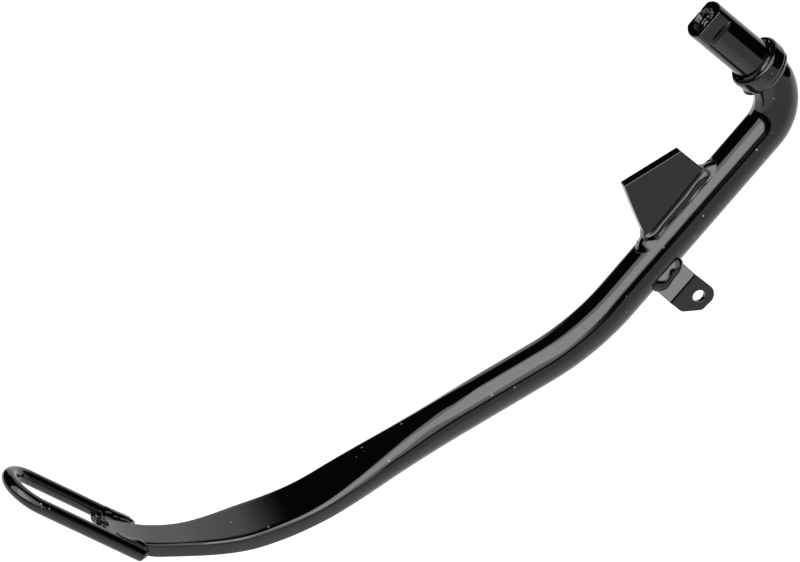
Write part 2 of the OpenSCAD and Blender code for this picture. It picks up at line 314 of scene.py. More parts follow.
def leg_outline(top, bottom, half, flank, edge, inset=LEG_INSET):
    """One outline across the leg (y, z): an ellipse clipped flat above and below, edges rounded."""
    w, h = half - inset, BAR_R - inset
    a_top = math.asin(min(0.999, (top - inset) / h))
    a_low = math.asin(min(0.999, (bottom - inset) / h))
    turn_top = min(edge / h, 0.45 * (a_top + a_low))
    turn_low = min(LOW_EDGE / h, 0.45 * (a_top + a_low))

    def rounded(a, sign, turn, size):
        """The rounded edge between the side at angle a and the flat, on the side of that sign."""
        corner = np.array([sign * w * math.cos(a) ** flank, h * math.sin(a)])
        inner = a - math.copysign(turn, a)
        first = np.array([sign * w * math.cos(inner) ** flank, h * math.sin(inner)])
        reach = min(size, 0.8 * abs(corner[0]))
        last = corner - np.array([sign * reach, 0])
        t = np.linspace(0, 1, EDGE_STEPS + 1)[:, None]
        return (1 - t) ** 2 * first + 2 * t * (1 - t) * corner + t**2 * last

    def side(sign, a0, a1):
        """The flank between two angles, without its end points."""
        a = np.linspace(a0, a1, ARC_STEPS + 1)[1:-1]
        return np.stack([sign * w * np.cos(a) ** flank, h * np.sin(a)], -1)

    def flat(p, q):
        """The straight line between two points, without its end points."""
        t = np.linspace(0, 1, FLAT_STEPS + 1)[1:-1, None]
        return mix(p, q, t)

    right_top, left_top = rounded(a_top, 1, turn_top, edge), rounded(a_top, -1, turn_top, edge)
    right_low, left_low = rounded(-a_low, 1, turn_low, LOW_EDGE), rounded(-a_low, -1, turn_low, LOW_EDGE)
    lo, hi = -a_low + turn_low, a_top - turn_top
    return np.concatenate([
        side(1, lo, hi), right_top, flat(right_top[-1], left_top[-1]), left_top[::-1],
        side(-1, hi, lo), left_low, flat(left_low[-1], right_low[-1]), right_low[::-1],
    ])


def leg_path():
    """Rows of (x, z, heading, distance) in the leg frame, and the distance where s is 0."""
    # the bar starts a little way up inside the collar
    lap = 1.0
    stub = ELBOW_DROP - ELBOW_R - COLLAR_T
    bend_len = LOWER_BEND_R * LOWER_BEND
    stretches = [
        (stub + lap, 0, ELBOW_STEP),
        (ELBOW_R * math.pi / 2, math.pi / 2, ELBOW_STEP),
        (UPPER_LEN - ELBOW_R - BEND_REACH, 0, LEG_STEP),
        (bend_len, LOWER_BEND, LEG_STEP),
        (SWEEP_START - BEND_REACH, 0, LEG_STEP),
        (SWEEP_LEN, SWEEP_ANGLE, LEG_STEP),
        (CURL_LEN, CURL_ANGLE, LEG_STEP),
    ]
    rows = walk((0, -COLLAR_T + lap), -math.pi / 2, stretches)
    return rows, rows[-1, 3] - FOOT_END


def leg_rings():
    """The leg's sections along its path, closing in round the tip's edge."""
    rows, zero = leg_path()
    end = rows[-1, 3]
    rows = rows[rows[:, 3] < end - TIP_EDGE]
    rings = [(x, z, a, leg_outline(*foot_size(d - zero))) for x, z, a, d in rows]
    for t in np.linspace(0, math.pi / 2, TIP_STEPS + 1):
        back = TIP_EDGE * (1 - math.sin(t))
        inset = LEG_INSET + TIP_EDGE * (1 - math.cos(t))
        x, z, a = TIP_X - back * math.cos(TIP_A), TIP_Z - back * math.sin(TIP_A), TIP_A
        rings.append((x, z, a, leg_outline(*foot_size(FOOT_END - back), inset)))
    out = []
    for x, z, a, q in rings:
        out.append(np.stack([x - q[:, 1] * math.sin(a), q[:, 0], z + q[:, 1] * math.cos(a)], -1))
    return np.array(out)


TIP_X, TIP_Z, TIP_A = leg_path()[0][-1, :3]
# Rail frame: x runs out along the rails from their cut ends, and the foot's tip is at RAIL_LAP
RAIL = LEG @ shift(TIP_X, 0, TIP_Z) @ turn_y(-TIP_A) @ shift(-RAIL_LAP, 0, RAIL_LIFT)


def make_leg_bar(material):
    rings = leg_rings()
    return piece_from("leg", grid_mesh("leg", place(rings, LEG)), ["leg_bar"], material)


# ---------- turned pieces ----------

AROUND = 192
THREAD_PITCH = 25.4 / 16
# Length of the step from round to flat
FLAT_STEP = 0.35
# How far the surface of the shaft's root lies inside the bar's
ROOT_INSET = 0.3


def ring(r, z, angles):
    """Points round the shaft's axis."""
    return np.stack([r * np.cos(angles), r * np.sin(angles), z + 0 * angles], -1)


def shaft_outline(angles, inset=0.0):
    """Radius of the shaft's flatted end at each angle, with slightly eased corners."""
    round_r = SHAFT_R - inset
    flat_r = (FLAT_ACROSS / 2 - inset) / np.maximum(np.abs(np.sin(angles)), 0.05)
    crispness = 50.0
    return (round_r**-crispness + flat_r**-crispness) ** (-1 / crispness)


def make_pivot_shaft(material):
    """Root, round stretch, the step to the two flats, chamfered end, countersink and threaded hole."""
    angles = np.arange(AROUND) * TURN / AROUND
    full = SHAFT_R + 0 * angles
    flat_z = SHAFT_LEN - FLAT_LEN
    # the end's edge is rounded most where the shaft is round
    eased = mix(0.5, 0.86, np.abs(np.cos(angles)) ** 8)
    mouth = COUNTERSINK_R - PAINT_FILL
    rows = [ring(BAR_R - ROOT_INSET, z, angles) for z in (-COLLAR_T, -1.6)]
    # a small throat where the shaft meets its wider root
    for t in np.linspace(0, 1, 7):
        rows.append(ring(SHAFT_R + 0.55 * (1 - math.sin(t * math.pi / 2)), -0.6 + 1.1 * t, angles))
    rows += [ring(full, z, angles) for z in np.arange(1.2, flat_z - FLAT_STEP / 2, 0.8)]
    for t in np.linspace(0, 1, 13):
        r = mix(full, shaft_outline(angles), ease(0, 1, t))
        rows.append(ring(r, flat_z - FLAT_STEP / 2 + FLAT_STEP * t, angles))
    rows += [ring(shaft_outline(angles), z, angles) for z in np.arange(flat_z + 0.6, SHAFT_LEN - 0.9, 0.6)]
    for t in np.linspace(0, math.pi / 2, 6):
        inset = eased * (1 - math.cos(t))
        rows.append(ring(shaft_outline(angles, inset), SHAFT_LEN - eased * (1 - math.sin(t)), angles))
    edge = shaft_outline(angles, eased)
    for t in np.linspace(0.12, 1, 9):
        rows.append(ring(mix(edge, mouth + 0.2, t), SHAFT_LEN, angles))
    depth = COUNTERSINK_R - THREAD_R
    for t in np.linspace(0.06, 1, 14):
        rows.append(ring(mix(mouth, THREAD_R, t), SHAFT_LEN - depth * t, angles))
    # thread grooves, cut outward from the tapping size and fading in below the countersink
    ring_gap, groove_depth = 0.12, 0.55
    for z in np.arange(SHAFT_LEN - depth - ring_gap, SHAFT_LEN - THREAD_DEPTH, -ring_gap):
        phase = (z / THREAD_PITCH - angles / TURN) % 1
        groove = groove_depth * (1 - np.abs(2 * phase - 1)) ** 0.8 * ease(0, 1.2, SHAFT_LEN - depth - z)
        rows.append(ring(THREAD_R + groove, z, angles))
    rows.append(ring(THREAD_R * 0.1, SHAFT_LEN - THREAD_DEPTH - 0.4, angles))
    points = caked_paint(np.array(rows))
    mesh = grid_mesh("pivot_shaft_turned", place(points, LEG), sharp=math.radians(40))
    return piece_from("pivot_shaft_turned", mesh, ["pivot_shaft"], material)


def caked_paint(points):
    """Paint gathered in lumps round the mouth of the hole and in its first threads."""
    x, y, z = points[..., 0], points[..., 1], points[..., 2]
    r = np.hypot(x, y)
    near = ease(6.9, 6.0, r) * ease(SHAFT_LEN - 7, SHAFT_LEN - 3.5, z)
    lump = np.clip(waves(points, 2.6, 11), -0.3, 1.4)
    heavy = 0.06 + 0.94 * ease(-0.5, -3.5, x)
    inward = 0.85 * near * lump * heavy
    scale = (r - inward) / np.maximum(r, 1e-6)
    mouth = near * ease(5.2, 6.2, r)
    return np.stack([x * scale, y * scale, z + np.minimum(0, -0.30 * mouth * lump * heavy)], -1)


def lathe(name, profile, bump):
    """Turns a closed profile of (r, z) round the shaft's axis; bump moves the points afterwards."""
    angles = np.arange(AROUND) * TURN / AROUND
    points = bump(np.array([ring(r, z, angles) for r, z in profile]))
    return grid_mesh(name, place(points, LEG), wrap_rows=True)


def make_thrust_collar(material):
    """The ring with its rounded edges, down into the seam round the shaft."""
    e, out = COLLAR_EDGE, COLLAR_R
    profile = [(BAR_R - 0.4, -COLLAR_T)]
    profile += arc(out - e, -COLLAR_T + e, e, -90, 0, 8)
    profile += [(out, z) for z in np.linspace(-COLLAR_T + e, -e, 6)[1:-1]]
    profile += arc(out - e, -e, e, 0, 90, 8)
    profile += [(r, 0) for r in np.linspace(out - e, BAR_R + 0.9, 4)[1:]]
    profile += [(BAR_R + 0.6, -0.06), (BAR_R + 0.3, -0.3), (BAR_R + 0.05, -0.75), (BAR_R - 0.4, -1.1)]

    def settle(points):
        """The seam at the bore isn't quite even."""
        r = np.hypot(points[..., 0], points[..., 1])
        seam = ease(BAR_R + 1.3, BAR_R + 0.5, r) * (points[..., 2] > -1)
        out_points = points.copy()
        out_points[..., 2] -= 0.12 * seam * (1 + waves(points, 3.0, 21))
        return out_points

    mesh = lathe("collar_ring", profile, settle)
    return piece_from("collar_ring", mesh, ["thrust_collar"], material)


def make_collar_weld(material):
    """A lobed bead in the corner between the collar's back face and the bar."""
    middle, bead_r = BAR_R - 0.5, 2.6
    section = [(bead_r * math.cos(a), bead_r * math.sin(a)) for a in np.arange(32) * TURN / 32]
    profile = [(middle + u, -COLLAR_T + v) for u, v in section]

    def lobes(points):
        """Swells and thins the bead round the bar."""
        angle = np.arctan2(points[..., 1], points[..., 0])
        size = 1 + 0.05 * np.sin(5 * angle + 0.6) + 0.035 * np.sin(9 * angle + 2.0)
        r = np.hypot(points[..., 0], points[..., 1])
        du, dv = r - middle, points[..., 2] + COLLAR_T
        scale = (middle + du * size) / np.maximum(r, 1e-6)
        return np.stack([points[..., 0] * scale, points[..., 1] * scale, -COLLAR_T + dv * size * 1.15], -1)

    mesh = lathe("collar_bead", profile, lobes)
    return piece_from("collar_bead", mesh, ["collar_weld"], material)


def make_collar_tack(material):
    """A separate lump: an ellipsoid with smooth random unevenness."""
    a = np.arange(40) * TURN / 40
    rings = []
    for v in np.linspace(-math.pi / 2, math.pi / 2, 29)[1:-1]:
        rings.append(np.stack([np.cos(v) * np.cos(a), np.cos(v) * np.sin(a), np.sin(v) + 0 * a], -1))
    unit = np.array(rings)
    centre, radii = np.array((BAR_R + 0.4, 1.6, -COLLAR_T - 0.3)), np.array((2.7, 2.8, 2.9))
    size = 1 + 0.05 * waves(unit, 1.6, 31)
    points = place(unit * size[..., None] * radii + centre, LEG)
    mesh = grid_mesh("collar_lump", points)
    return piece_from("collar_lump", mesh, ["collar_tack"], material)


# ---------- stop plate ----------


def bevelled(mesh, width):
    """Rounds every edge that turns more than the limit, and keeps the flats flat."""
    obj = bpy.data.objects.new("work", mesh)
    bpy.context.scene.collection.objects.link(obj)
    bevel = obj.modifiers.new("bevel", "BEVEL")
    bevel.width = width * MM
    bevel.segments = 4
    bevel.angle_limit = math.radians(35)
    even = obj.modifiers.new("even", "WEIGHTED_NORMAL")
    even.keep_sharp = True
    return baked(obj)


def baked(obj):
    """The object's mesh with its modifiers applied; the object itself goes."""
    graph = bpy.context.evaluated_depsgraph_get()
    mesh = bpy.data.meshes.new_from_object(obj.evaluated_get(graph), depsgraph=graph)
    bpy.data.objects.remove(obj)
    return mesh


def make_stop_plate(material):
    """The plate, with its lower end bulging a little between its two corners."""
    root = BAR_R - STOP_ROOT_SINK
    outer, corner = np.array([STOP_X1, STOP_Z1]), np.array([STOP_X2, BAR_R - STOP_CORNER_SINK])
    run = corner - outer
    normal = np.array([run[1], -run[0]]) / np.linalg.norm(run)
    bowed = []
    for t in np.linspace(0, 1, 17):
        bowed.append(tuple(outer + run * t - normal * STOP_BULGE * 4 * t * (1 - t)))
    outline = [(STOP_X2, root), (STOP_X0, root), (STOP_X0, STOP_Z0), *bowed]
    mesh = moved(prism("stop_plate_cut", outline, STOP_T), "xzy", UPPER)
    mesh = bevelled(mesh, 0.45)
    return piece_from("stop_plate_cut", mesh, ["stop_plate"], material)


def smooth_run(controls, steps):
    """A smooth curve through control points, with that many steps between each two."""
    p = np.array(controls, float)
    p = np.concatenate([[2 * p[0] - p[1]], p, [2 * p[-1] - p[-2]]])
    out = []
    for a, b, c, d in zip(p, p[1:], p[2:], p[3:]):
        square, cube = 2 * a - 5 * b + 4 * c - d, 3 * b - a - 3 * c + d
        for t in np.arange(steps) / steps:
            out.append(0.5 * (2 * b + (c - a) * t + square * t**2 + cube * t**3))
    return np.array([*out, p[-2]])


# Length along the plate's foot, and the length that the bead takes to turn each corner
STOP_SIDE = STOP_X2 - STOP_X0
STOP_TURN = 4.0
STOP_END = STOP_TURN + STOP_T + STOP_TURN


def stop_bead(u0, u1, name, node, material):
    """Part of the bead that runs round the plate's foot, from distance u0 to u1 along it.

    The bead's middle line follows the plate's corner with the bar: along the front, round the
    lower end, back along the rear and round the upper end.
    """
    lap = (STOP_SIDE, STOP_TURN, STOP_T, STOP_TURN) * 2
    edges = np.concatenate([[0], np.cumsum(lap)])
    rows = [stop_bead_row(u, lap, edges) for u in np.arange(u0, u1 + 0.2, 0.4)]
    points = place(np.array(rows), UPPER)
    return piece_from(name, grid_mesh(name, points), [node], material)


def on_bar(y):
    """Height of the bar's surface above its axis, y away from the middle."""
    return np.sqrt(np.maximum(0, BAR_R**2 - np.minimum(abs(y), BAR_R - 0.5) ** 2))


def stop_bead_row(u, lap, edges):
    """One section of the bead, as heights above the bar at distances out from the plate.

    Along the plate it is a low proud bead; at the plate's ends it hollows out into a long fillet.
    """
    part = int(min(np.searchsorted(edges, u, side="right") - 1, 7))
    t = (u - edges[part]) / lap[part]
    half, side = STOP_T / 2, part // 2
    corners = [(STOP_X0, half), (STOP_X2, half), (STOP_X2, -half), (STOP_X0, -half)]
    start, after = np.array(corners[side]), np.array(corners[(side + 1) % 4])
    out_angle = math.radians(90 - 90 * side)
    if part % 2 == 0:
        centre = start + (after - start) * t
    else:
        centre = after
        out_angle -= t * math.pi / 2
    out = np.array([math.cos(out_angle), math.sin(out_angle)])
    x = centre[0]
    end = max(abs(out[0]), 0.6 * ease(STOP_X2 - 6, STOP_X2, x), 0.3 * ease(STOP_X0 + 4, STOP_X0, x))
    low = ease(STOP_X0 + 6, STOP_X2 - 14, x)
    w = mix(2.3, 2.0, low) * (1 + 0.05 * math.sin(u / 2.9 + 2.0) + 0.03 * math.sin(u / 1.7 + 0.3))
    h = mix(2.2, 1.5, low) * (1 + 0.04 * math.sin(u / 3.1 + 0.5))
    proud = np.array([
        (-0.5, h + 0.1), (0.15, h + 0.15), (0.60 * w, h + 0.30), (0.88 * w, 0.74 * h + 0.50),
        (w, 0.3 * h + 0.7), (1.08 * w, 0.55), (1.28 * w, 0.1), (1.6 * w, -0.7),
    ])
    toe = 1 / math.hypot(out[0] / mix(5.6, 5.2, low), out[1] / 3.0)
    climb = mix(3.2, 4.0, low)
    hollow = np.array([
        (-0.5, climb + 0.5), (0.05, 0.86 * climb), (0.16 * toe, 0.46 * climb), (0.34 * toe, 0.22 * climb),
        (0.54 * toe, 0.14 * climb), (0.76 * toe, 0.10 * climb), (toe, -0.25), (1.15 * toe, -1.1),
    ])
    top = smooth_run(mix(proud, hollow, end), 6)
    reach = np.concatenate([top[:, 0], [top[-1, 0] * 0.6, -0.5]])
    rise = np.concatenate([top[:, 1], [-2.4, -2.0]])
    # the plate's lower end leans, so the bead there leans with it
    lean = (STOP_X2 - STOP_X1) / (STOP_Z1 - BAR_R + STOP_CORNER_SINK) * ease(STOP_X2 - 2, STOP_X2, x)
    y = centre[1] + out[1] * reach
    return np.stack([x + out[0] * reach - lean * np.maximum(0, rise), y, on_bar(y) + rise], -1)


def puddle(x0, y0, rx, ry, height):
    """A low smooth mound of weld metal lying on the upper leg."""
    a = np.arange(48) * TURN / 48
    levels = [(r, height * (1 - r * r) ** 1.5 - 0.12 * r) for r in np.linspace(0.03, 1, 22)]
    # the last ring lies under the bar's surface and closes the mound
    levels.append((0.9, -1.5))
    rows = []
    for r, rise in levels:
        y = y0 + ry * r * np.sin(a)
        rows.append(np.stack([x0 + rx * r * np.cos(a), y, on_bar(y) + rise], -1))
    return grid_mesh("puddle", place(np.array(rows), UPPER))


def joined(first, second):
    """Adds the second mesh's skin to the first mesh."""
    work = bmesh.new()
    work.from_mesh(first)
    work.from_mesh(second)
    work.to_mesh(first)
    work.free()
    bpy.data.meshes.remove(second)


def make_stop_welds(material):
    """Four beads round the plate's foot, the end ones each with a puddle and a short lap."""
    half_way, lap = STOP_SIDE + STOP_END, 0.3
    spans = {
        "stop_bead_front": (0.0, STOP_SIDE, "stop_plate_front_weld"),
        "stop_bead_lower": (STOP_SIDE - lap, half_way + lap, "stop_plate_lower_weld"),
        "stop_bead_rear": (half_way, half_way + STOP_SIDE, "stop_plate_rear_weld"),
        "stop_bead_upper": (half_way + STOP_SIDE - lap, 2 * half_way - 0.01, "stop_plate_upper_weld"),
    }
    beads = {name: stop_bead(u0, u1, name, node, material) for name, (u0, u1, node) in spans.items()}
    joined(beads["stop_bead_lower"].data, puddle(STOP_X2 + 0.2, 1.5, 6.2, 5.4, 1.7))
    joined(beads["stop_bead_upper"].data, puddle(STOP_X0 - 0.4, 1.2, 5.4, 4.8, 1.9))


# ---------- spring tab ----------

TAB_FACE_Y = TAB_KNEE * math.sin(TAB_LEAN)
TAB_KNEE_Z = -TAB_KNEE * math.cos(TAB_LEAN)
# Longer than the tab, for the shapes that cut it out
TAB_REACH = 60


def tab_outline():
    """Seen from the side (x, z)."""
    low = arc(TAB_X + 5.2, -22.6, 5.2, 180, 262, 14)
    low += arc(TAB_X + 8.8, -24.6, 2.8, 265, 318, 10)
    low += arc(TAB_X + TAB_W - 3.6, -18.6, 3.6, 318, 360, 10)
    return [(TAB_X + TAB_W, 0), (TAB_X, 0), *low]


def tab_profile():
    """Seen along the leg (y, z): the leaning strip, one bend and the straight face."""
    lean = math.degrees(TAB_LEAN)
    direction = np.array([math.sin(TAB_LEAN), -math.cos(TAB_LEAN)])
    across = np.array([math.cos(TAB_LEAN), math.sin(TAB_LEAN)])
    middle = TAB_BEND_R + TAB_T / 2
    cy, cz = TAB_FACE_Y - middle, TAB_KNEE_Z - middle * math.tan(TAB_LEAN / 2)
    root = direction * (BAR_R - 2.0)
    outer = arc(cy, cz, TAB_BEND_R + TAB_T, lean, 0, 12)
    inner = arc(cy, cz, TAB_BEND_R, 0, lean, 12)
    low = [(TAB_FACE_Y + TAB_T / 2, -TAB_REACH), (TAB_FACE_Y - TAB_T / 2, -TAB_REACH)]
    return [tuple(root - across * TAB_T / 2), tuple(root + across * TAB_T / 2), *outer, *low, *inner]


def cut(mesh, cutter_mesh, how):
    """One solid with another taken out of it, or kept only where both are; how names which."""
    obj = bpy.data.objects.new("work", mesh)
    tool = bpy.data.objects.new("tool", cutter_mesh)
    for o in (obj, tool):
        bpy.context.scene.collection.objects.link(o)
    step = obj.modifiers.new("cut", "BOOLEAN")
    step.operation = how
    step.object = tool
    step.solver = "EXACT"
    result = baked(obj)
    bpy.data.objects.remove(tool)
    return result


def make_spring_tab(material):
    """The bent strip, cut to its outline and punched."""
    strip = prism("tab_strip", tab_profile(), TAB_W + 2)
    strip = moved(strip, "yzx", UPPER @ shift(TAB_X + TAB_W / 2, 0, 0))
    blank = moved(prism("tab_blank", tab_outline(), TAB_REACH), "xzy", UPPER)
    hole = arc(HOLE_X, HOLE_Z, SPRING_HOLE_R, 0, 360, 64)[:-1]
    punch = moved(prism("tab_punch", hole, TAB_REACH), "xzy", UPPER)
    mesh = cut(cut(strip, blank, "INTERSECT"), punch, "DIFFERENCE")
    mesh = bevelled(mesh, 0.32)
    mesh.name = "spring_tab_bent"
    return piece_from("spring_tab_bent", mesh, ["spring_tab"], material)


def tab_bead(side, name, node, material):
    """A short bead along the strip's root, thick in the middle and drawn out at its ends."""
    tilt = np.eye(4)
    c, s = math.cos(TAB_LEAN), math.sin(TAB_LEAN)
    # local y runs across the strip's sheet and local z along the strip
    tilt[:3, :3] = np.array([[1, 0, 0], [0, c, s], [0, s, -c]])
    a = np.arange(36) * TURN / 36
    rows = []
    for t in np.linspace(0.015, 0.985, 64):
        x = TAB_X - 1.0 + (TAB_W + 2.0) * t
        size = math.sin(math.pi * t) ** 0.4
        along_bead = np.array([x, 0, 0])
        up = 4.8 * size * (1 + 0.05 * waves(along_bead, 9, 51 + side))
        wide = 3.0 * size * (1 + 0.05 * waves(along_bead, 8, 61 + side))
        y = side * (TAB_T / 2 - 0.3 + wide * np.cos(a))
        z = BAR_R - 0.6 + up * np.sin(a)
        rows.append(np.stack([x + 0 * a, y, z], -1))
    points = place(np.array(rows), UPPER @ tilt)
    return piece_from(name, grid_mesh(name, points), [node], material)


# ---------- toe loop ----------

# Rounding of the rails' cut ends
RAIL_END_R = 1.1
# How much higher the weld stands over the last stretch of each rail
NEAR_MOUND, FAR_MOUND = 1.3, 0.2


def make_toe_loop(material):
    """The rod: out along one rail, round the toe and back along the other."""
    half, step = LOOP_W / 2, 1.0
    a = np.arange(48) * TURN / 48
    rows = []

    def add(x, y, heading, r):
        """A round section whose plane is square to the heading."""
        side_x, side_y = -math.sin(heading), math.cos(heading)
        rows.append(np.stack([x + side_x * r * np.cos(a), y + side_y * r * np.cos(a), r * np.sin(a)], -1))

    ends = []
    for t in np.linspace(0, math.pi / 2, 7):
        ends.append((RAIL_END_R * (1 - math.cos(t)), ROD_R - RAIL_END_R * (1 - math.sin(t))))
    for x, r in ends:
        add(x, half, 0, r)
    for x in np.arange(2 * step, RAIL_LEN, step):
        add(x, half, 0, ROD_R)
    for t in np.linspace(0, math.pi, 61):
        add(RAIL_LEN + half * math.sin(t), half * math.cos(t), -t, ROD_R)
    for x in np.arange(RAIL_LEN - step, 1.9 * step, -step):
        add(x, -half, -math.pi, ROD_R)
    for x, r in ends[::-1]:
        add(x, -half, -math.pi, r)
    points = np.array(rows)
    mesh = grid_mesh("toe_loop_rod", place(points, RAIL))
    return piece_from("toe_loop_rod", mesh, ["toe_loop"], material)


def rail_bead(side, name, node, material):
    """A smooth fillet from the foot's edge up onto a rail, lumpy where it wraps the rail's cut end."""
    foot_top, foot_low = FOOT_TOP - RAIL_LIFT, TIP_LIFT - FOOT_BOTTOM - RAIL_LIFT
    edge, rod = TIP_W / 2, LOOP_W / 2
    # sections (y, z) along the rail and round its cut end, and the point where the bead runs out
    full = np.array([
        (edge - 4.2, foot_top - 0.5), (edge - 3.4, foot_top + 0.03), (edge - 2.0, foot_top + 0.35),
        (edge - 0.5, foot_top + 1.3), (rod - 3.2, 2.9), (rod - 1.9, 3.6), (rod - 0.5, 3.6),
        (rod + 0.7, 2.9), (rod, -2.0), (rod - 1.6, -2.4), (rod - 2.8, -2.8),
        (edge - 0.6, foot_low + 0.4), (edge - 1.6, foot_low + 0.7),
    ])
    cap = np.array([
        (edge - 2.4, foot_top - 0.9), (edge - 2.0, foot_top - 0.1), (edge - 0.9, foot_top + 0.5),
        (edge + 0.4, foot_top + 1.1), (rod - 2.4, 2.7), (rod - 1.3, 3.0), (rod + 0.2, 2.6),
        (rod + 1.1, 1.2), (rod + 0.7, -0.8), (rod - 0.6, -1.7), (rod - 2.4, -2.1),
        (edge - 0.6, foot_low + 1.2), (edge - 1.8, foot_low + 1.6),
    ])
    small = np.array([(edge + 0.6, -0.6)])
    rows = []
    for t in np.linspace(0.0, 1.0, 70)[1:-1]:
        x = -2.8 + (RAIL_LAP + 2.0) * t
        opening = math.sin(math.pi * min(1, t * 9) / 2) ** 0.55
        closing = math.sin(math.pi * min(1, (1 - t) * 9) / 2) ** 0.6
        section = mix(small, mix(cap, full, ease(-1.0, 2.5, x)), opening * closing)
        section = smooth_run([*section, section[0]], 4)[:-1]
        rows.append(np.stack([x + 0 * section[:, 0], side * section[:, 0], section[:, 1]], -1))
    points = np.array(rows)
    x, y, z = points[..., 0].copy(), abs(points[..., 1]), points[..., 2].copy()
    rough = ease(3.0, -1.0, x) * ease(rod + 0.5, rod - 1.5, y) * ease(-2, 0, z)
    mound = ease(-1.5, 2.5, x) * ease(10.0, 4.0, x) * ease(foot_top, foot_top + 1.0, z)
    height = NEAR_MOUND if side > 0 else FAR_MOUND
    points[..., 2] += height * mound * ease(rod + 1.5, rod - 1.0, y)
    points[..., 2] += (0.05 + 0.2 * rough) * waves(points, 3.0, 75 + side)
    points[..., 1] += 0.2 * rough * waves(points, 2.8, 77 + side)
    mesh = grid_mesh(name, place(points, RAIL))
    return piece_from(name, mesh, [node], material)


def make_tip_weld(material):
    """A rough bead across the foot's tip, from rail to rail."""
    reach = LOOP_W / 2 - ROD_R + 0.6
    middle_x, middle_z = RAIL_LAP - 0.3, -RAIL_LIFT - 0.7
    a = np.arange(32) * TURN / 32
    rows = []
    for y in np.linspace(-reach, reach, 60):
        along_bead = np.array([0, y, 0])
        r = 2.0 * (1 + 0.10 * waves(along_bead, 4.5, 81) + 0.04 * waves(along_bead, 2.4, 82))
        rows.append(np.stack([middle_x + r * np.cos(a), y + 0 * a, middle_z + r * 1.25 * np.sin(a)], -1))
    points = np.array(rows)
    points[..., 0] += 0.22 * waves(points, 3.4, 83) * (points[..., 0] > RAIL_LAP)
    points[..., 2] += 0.2 * waves(points, 3.4, 84)
    mesh = grid_mesh("toe_loop_bead_tip", place(points, RAIL))
    return piece_from("toe_loop_bead_tip", mesh, ["toe_loop_tip_weld"], material)


# ---------- materials ----------

BLACK = (0.0005, 0.0009, 0.0008, 1)
WELD_BLACK = (0.0006, 0.0010, 0.0009, 1)
NIB_COLOR = (0.26, 0.27, 0.26, 1)
# Cells per metre of the coat's patterns
GLOSS_SCALE, NIB_SCALE, FINE_PEEL_SCALE, BROAD_PEEL_SCALE = 90, 300, 750, 140
# Height of the fine orange peel in millimetres, and how many times that the broad peel and nibs are
PEEL_HEIGHT = 0.006
BROAD_PEEL, NIB_RISE = 2.2, 6.0


def coat_material(name, color, rough, nib_share):
    """Gloss black powder coat: orange peel, slightly uneven gloss and a dust nib in a share of cells."""
    material = bpy.data.materials.new(name)
    material.use_nodes = True
    nodes, links = material.node_tree.nodes, material.node_tree.links
    shader = nodes["Principled BSDF"]
    shader.inputs["IOR"].default_value = 1.5
    coords = nodes.new("ShaderNodeTexCoord")

    def noise_at(scale, detail):
        node = nodes.new("ShaderNodeTexNoise")
        node.inputs["Scale"].default_value = scale
        node.inputs["Detail"].default_value = detail
        links.new(coords.outputs["Object"], node.inputs["Vector"])
        return node

    def ranged(source, low, high, to_low, to_high):
        node = nodes.new("ShaderNodeMapRange")
        node.inputs["From Min"].default_value = low
        node.inputs["From Max"].default_value = high
        node.inputs["To Min"].default_value = to_low
        node.inputs["To Max"].default_value = to_high
        links.new(source, node.inputs["Value"])
        return node

    patches = noise_at(GLOSS_SCALE, 3.0)
    gloss = ranged(patches.outputs["Fac"], 0.3, 0.7, rough * 0.8, rough * 1.25)
    links.new(gloss.outputs["Result"], shader.inputs["Roughness"])

    nibs = nodes.new("ShaderNodeTexVoronoi")
    nibs.inputs["Scale"].default_value = NIB_SCALE
    links.new(coords.outputs["Object"], nibs.inputs["Vector"])
    spot = ranged(nibs.outputs["Distance"], 0.07, 0.13, 1.0, 0.0)
    pick = nodes.new("ShaderNodeSeparateColor")
    links.new(nibs.outputs["Color"], pick.inputs["Color"])
    chosen = ranged(pick.outputs["Red"], 1 - nib_share, 1 - nib_share + 0.01, 0.0, 1.0)
    nib = nodes.new("ShaderNodeMath")
    nib.operation = "MULTIPLY"
    links.new(spot.outputs["Result"], nib.inputs[0])
    links.new(chosen.outputs["Result"], nib.inputs[1])

    tint = nodes.new("ShaderNodeMix")
    tint.data_type = "RGBA"
    tint.inputs["A"].default_value = color
    tint.inputs["B"].default_value = NIB_COLOR
    links.new(nib.outputs["Value"], tint.inputs["Factor"])
    links.new(tint.outputs["Result"], shader.inputs["Base Color"])

    fine, broad = noise_at(FINE_PEEL_SCALE, 1.0), noise_at(BROAD_PEEL_SCALE, 1.0)
    height = nodes.new("ShaderNodeMath")
    height.operation = "MULTIPLY_ADD"
    links.new(broad.outputs["Fac"], height.inputs[0])
    height.inputs[1].default_value = BROAD_PEEL
    links.new(fine.outputs["Fac"], height.inputs[2])
    raised = nodes.new("ShaderNodeMath")
    raised.operation = "MULTIPLY_ADD"
    links.new(nib.outputs["Value"], raised.inputs[0])
    raised.inputs[1].default_value = NIB_RISE
    links.new(height.outputs["Value"], raised.inputs[2])
    bump = nodes.new("ShaderNodeBump")
    bump.inputs["Strength"].default_value = 1.0
    bump.inputs["Distance"].default_value = PEEL_HEIGHT * MM
    links.new(raised.outputs["Value"], bump.inputs["Height"])
    links.new(bump.outputs["Normal"], shader.inputs["Normal"])
    return material


# ---------- build ----------

coat = coat_material("powder_coat", BLACK, 0.07, 0.13)
shaft_coat = coat_material("shaft_coat", BLACK, 0.09, 0.03)
weld_coat = coat_material("weld_coat", WELD_BLACK, 0.07, 0.06)

